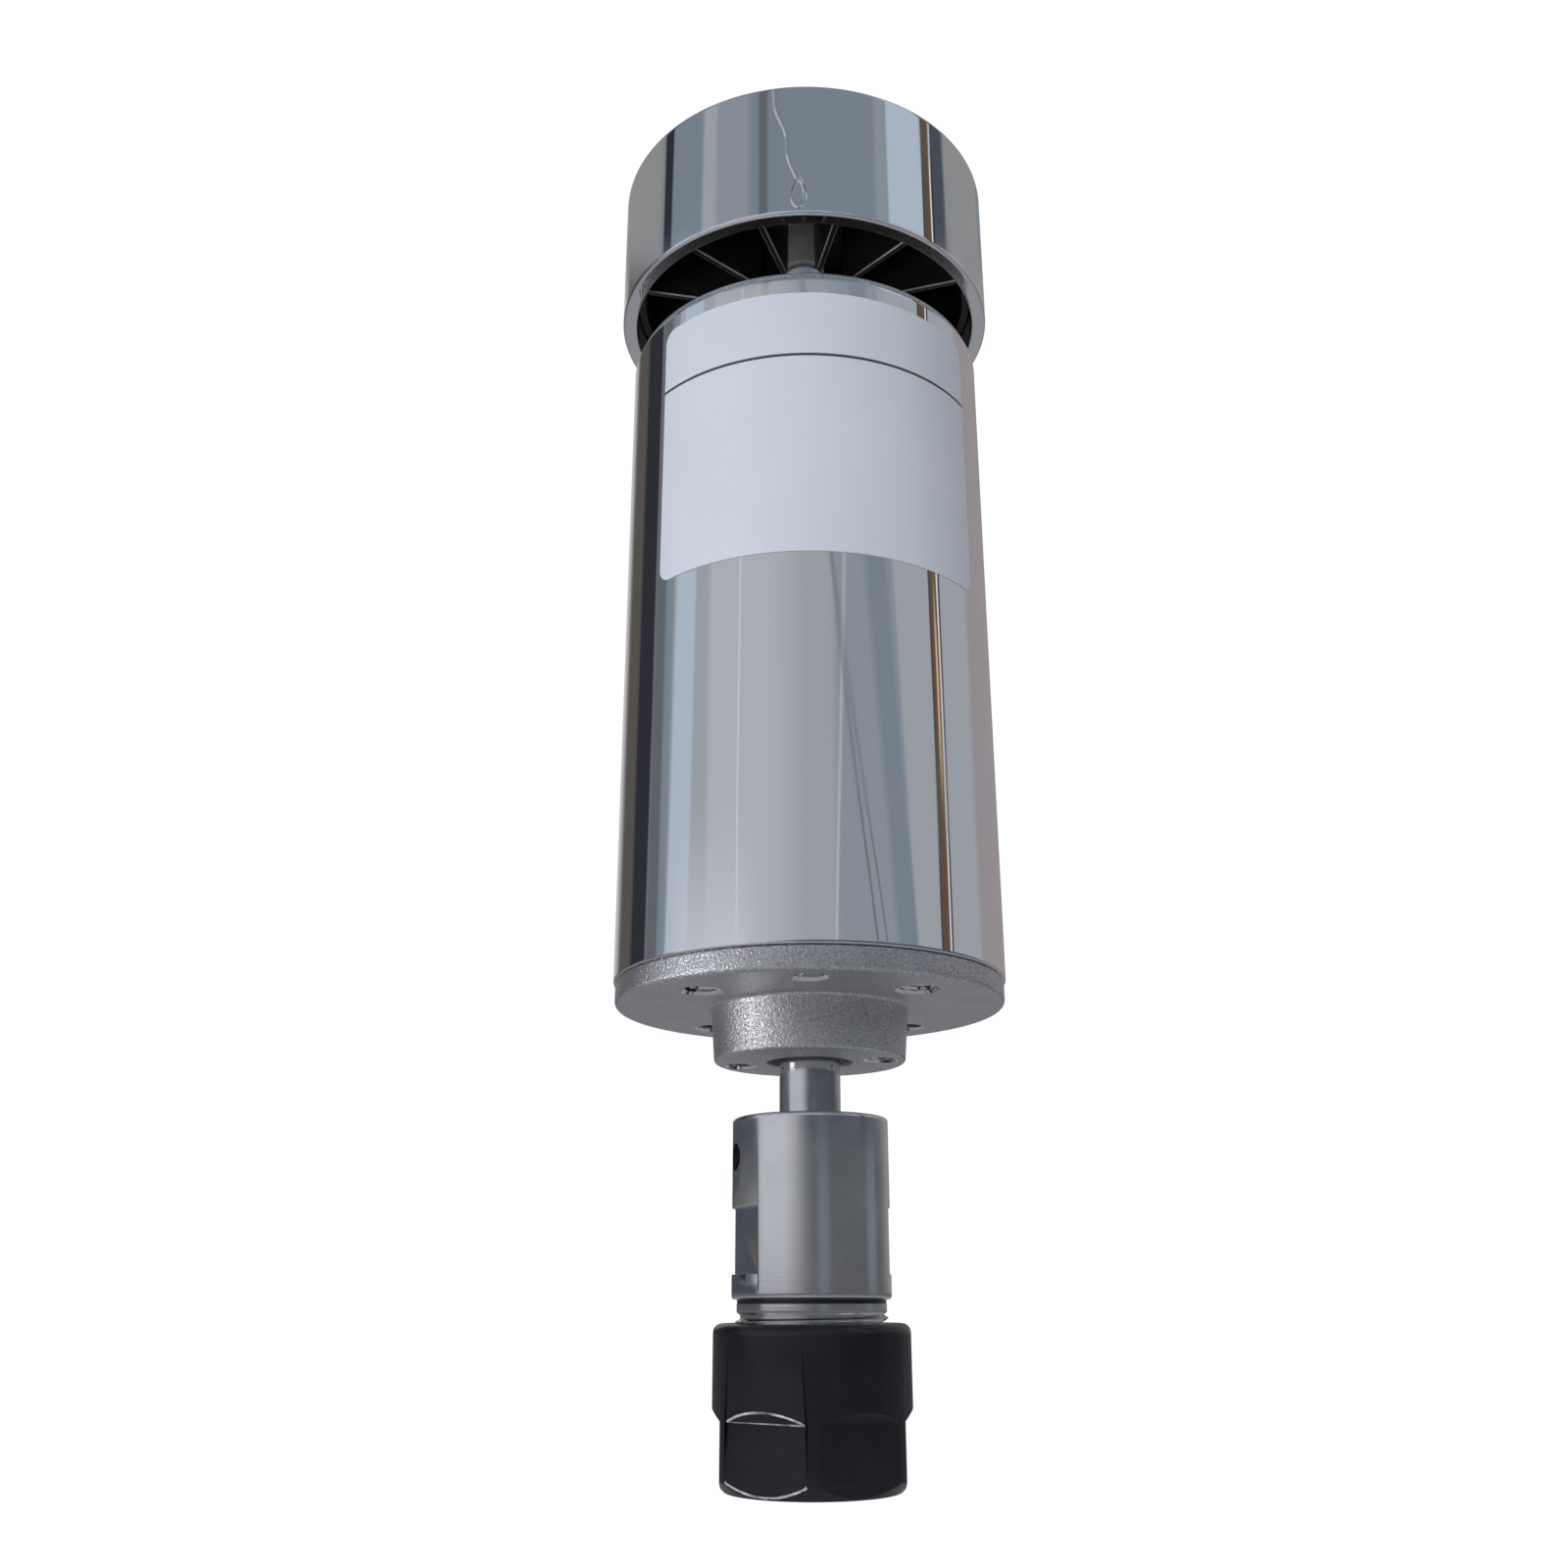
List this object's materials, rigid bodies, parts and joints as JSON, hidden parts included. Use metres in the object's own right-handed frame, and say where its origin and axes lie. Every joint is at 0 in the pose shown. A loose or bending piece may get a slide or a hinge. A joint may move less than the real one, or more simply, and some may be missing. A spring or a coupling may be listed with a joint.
{
  "type": "motor spindle",
  "caption": "Brushed DC spindle motor with a cast front cap and nose, a plated body tube, a finned cooling fan behind and a collet holder with its nut in front.",
  "frame": {"origin": "centre of the front bolt circle, on the flange's mounting face", "axes": "+Z along the spindle from the tool end to the fan, -Y towards the rating label's side"},
  "size_m": [0.0562, 0.0562, 0.1863],
  "materials": {
    "plated_steel": "polished",
    "cast_aluminium": "matte",
    "zinc_steel": "satin",
    "black_oxide": "satin",
    "ferrite": "matte",
    "ground_steel": "polished",
    "turned_steel": "satin",
    "bush_steel": "polished",
    "lamination": "matte",
    "fibre": "matte",
    "nylon": "satin",
    "copper": "satin",
    "carbon": "matte",
    "brass": "satin",
    "black_plastic": "satin",
    "label_film": "satin"
  },
  "bodies": {
    "stator": {"motor_tube": "plated_steel", "front_end_cap": "cast_aluminium", "rear_end_cap": "cast_aluminium", "through_bolts": "zinc_steel", "magnets": "ferrite", "front_bearing_outer_ring": "ground_steel", "rear_bearing_outer_ring": "ground_steel", "front_bearing_shields": "ground_steel", "rear_bearing_shields": "ground_steel", "preload_washer": "zinc_steel", "brush_tubes": "brass", "brush_plate": "fibre", "brush_spring_left": "zinc_steel", "brush_spring_right": "zinc_steel", "terminal_insulators": "black_plastic", "terminals": "brass", "rating_label": "label_film"},
    "rotor": {"motor_shaft": "ground_steel", "armature_core": "lamination", "armature_end_plates": "fibre", "armature_windings": "copper", "shaft_spacer": "ground_steel", "commutator_sleeve": "fibre", "commutator_segments": "copper", "front_bearing_inner_ring": "ground_steel", "rear_bearing_inner_ring": "ground_steel", "fan_bush": "bush_steel", "fan_disc": "black_plastic", "fan_skirt": "black_plastic", "fan_blades": "black_plastic", "fan_ring": "plated_steel", "collet_holder": "turned_steel", "holder_set_screws": "black_oxide"},
    "front_ball_set": {"front_bearing_balls": "ground_steel", "front_bearing_cage": "nylon"},
    "rear_ball_set": {"rear_bearing_balls": "ground_steel", "rear_bearing_cage": "nylon"},
    "collet": {"collet": "ground_steel"},
    "nut": {"collet_nut": "black_oxide"},
    "brush_left": {"brush_left": "carbon"},
    "brush_right": {"brush_right": "carbon"}
  },
  "joints": [
    {"name": "rotor_spin", "type": "hinge", "parent": "stator", "child": "rotor", "pos_m": [0, 0, 0], "axis": [0, 0, 1], "continuous": true},
    {"name": "front_ball_orbit", "type": "hinge", "parent": "stator", "child": "front_ball_set", "pos_m": [0, 0, 0], "axis": [0, 0, 1], "continuous": true},
    {"name": "rear_ball_orbit", "type": "hinge", "parent": "stator", "child": "rear_ball_set", "pos_m": [0, 0, 0], "axis": [0, 0, 1], "continuous": true},
    {"name": "collet_slide", "type": "slide", "parent": "rotor", "child": "collet", "axis": [0, 0, -1], "range_m": [0, 0.01]},
    {"name": "nut_turn", "type": "hinge", "parent": "collet", "child": "nut", "pos_m": [0, 0, 0], "axis": [0, 0, -1], "range_deg": [0, 3600]},
    {"name": "brush_left_slide", "type": "slide", "parent": "stator", "child": "brush_left", "axis": [-1, 0, 0], "range_m": [0, 0.001], "stiffness_N_per_m": 60, "springref_m": -0.01, "deforming": ["brush_spring_left"]},
    {"name": "brush_right_slide", "type": "slide", "parent": "stator", "child": "brush_right", "axis": [1, 0, 0], "range_m": [0, 0.001], "stiffness_N_per_m": 60, "springref_m": -0.01, "deforming": ["brush_spring_right"]}
  ],
  "couplings": [
    {"joint": "front_ball_orbit", "follows": "rotor_spin", "ratio": 0.36767},
    {"joint": "rear_ball_orbit", "follows": "rotor_spin", "ratio": 0.35714},
    {"joint": "collet_slide", "follows": "nut_turn", "m_per_rad": 0.00015915}
  ]
}
